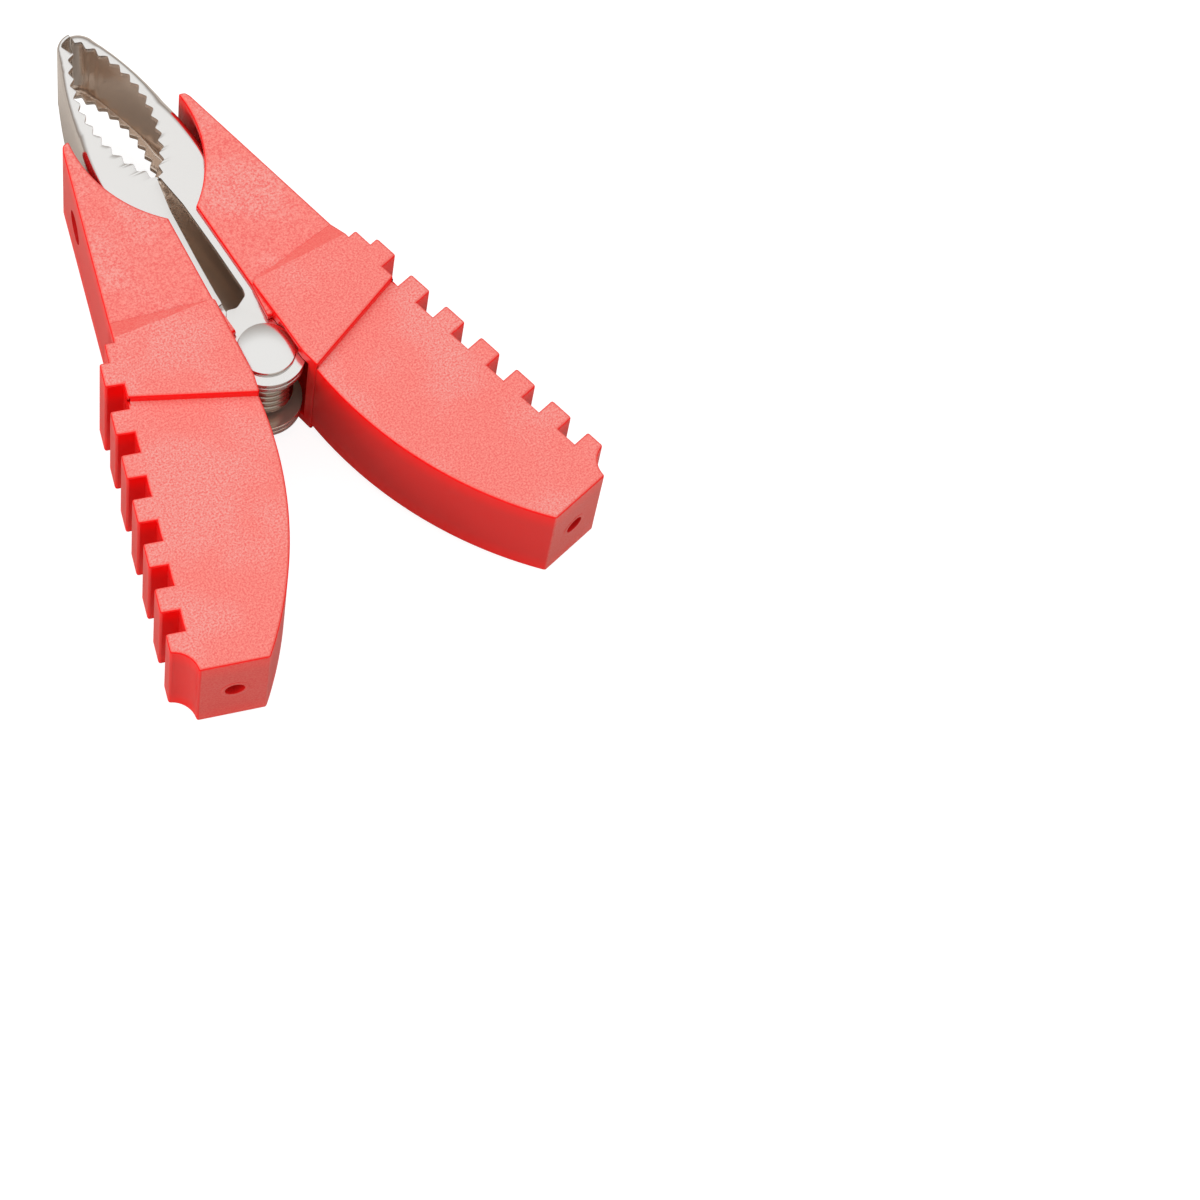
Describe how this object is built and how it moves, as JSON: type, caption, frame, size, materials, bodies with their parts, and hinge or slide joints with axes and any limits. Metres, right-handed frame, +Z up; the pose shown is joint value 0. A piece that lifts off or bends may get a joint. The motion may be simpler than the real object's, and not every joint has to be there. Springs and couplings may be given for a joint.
{
  "type": "alligator clip",
  "caption": "Fully insulated alligator clip: two red finger-grip handles over sprung, toothed sheet-metal jaws riveted together at a pivot.",
  "frame": {"origin": "centre of the bounding box in plan, on the plane the clip lies on, under its collars", "axes": "+X across the handles, +Y along the clip from the handle ends to the jaw tips, +Z up along the pivot rivet"},
  "size_m": [0.0584, 0.0866, 0.0164],
  "materials": {
    "red_plastic": "fine leather grain on the flat faces, smooth edges",
    "jaw_plate": "bright nickel plate on folded sheet",
    "rivet_plate": "bright nickel plate",
    "spring_steel": "drawn wire, lightly oiled"
  },
  "bodies": {
    "left_half": {"handle_left": "red_plastic", "jaw_left": "jaw_plate", "pivot_rivet": "rivet_plate", "rivet_washer": "rivet_plate", "torsion_spring": "spring_steel"},
    "right_half": {"handle_right": "red_plastic", "jaw_right": "jaw_plate"}
  },
  "joints": [
    {"name": "pivot_hinge", "type": "hinge", "parent": "left_half", "child": "right_half", "pos_m": [0, -0.00733, 0.0082], "axis": [0, 0, -1], "range_deg": [0, 42], "stiffness_Nm_per_rad": 0.6, "springref_deg": -57.3, "deforming": ["torsion_spring"]}
  ]
}
